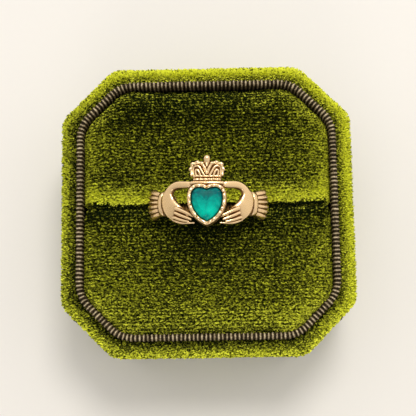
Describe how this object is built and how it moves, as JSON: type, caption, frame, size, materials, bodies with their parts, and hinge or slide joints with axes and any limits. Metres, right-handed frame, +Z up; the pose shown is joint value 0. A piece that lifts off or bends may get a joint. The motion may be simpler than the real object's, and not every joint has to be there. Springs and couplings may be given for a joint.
{
  "type": "claddagh ring in a ring box",
  "caption": "Gold claddagh ring with a green heart stone, held upright in the slot of an open octagonal velvet ring box.",
  "frame": {"origin": "middle of the ring box's underside", "axes": "+Z up out of the open box, +Y to the back of the box, the way the ring's crown points, +X to the right along the slot"},
  "size_m": [0.053, 0.053, 0.0364],
  "materials": {
    "wall_velvet": "bright moss green velvet pile",
    "ribbon": "ribbed taupe ribbon",
    "cushion_velvet": "moss green velvet pile in fine rows",
    "gold": "satin yellow gold",
    "stone": "polished faceted green"
  },
  "bodies": {
    "root": {"box_shell": "wall_velvet", "ribbon_collar": "ribbon", "back_cushion": "cushion_velvet", "front_cushion": "cushion_velvet", "ring": "gold", "heart_stone": "stone"}
  },
  "joints": []
}
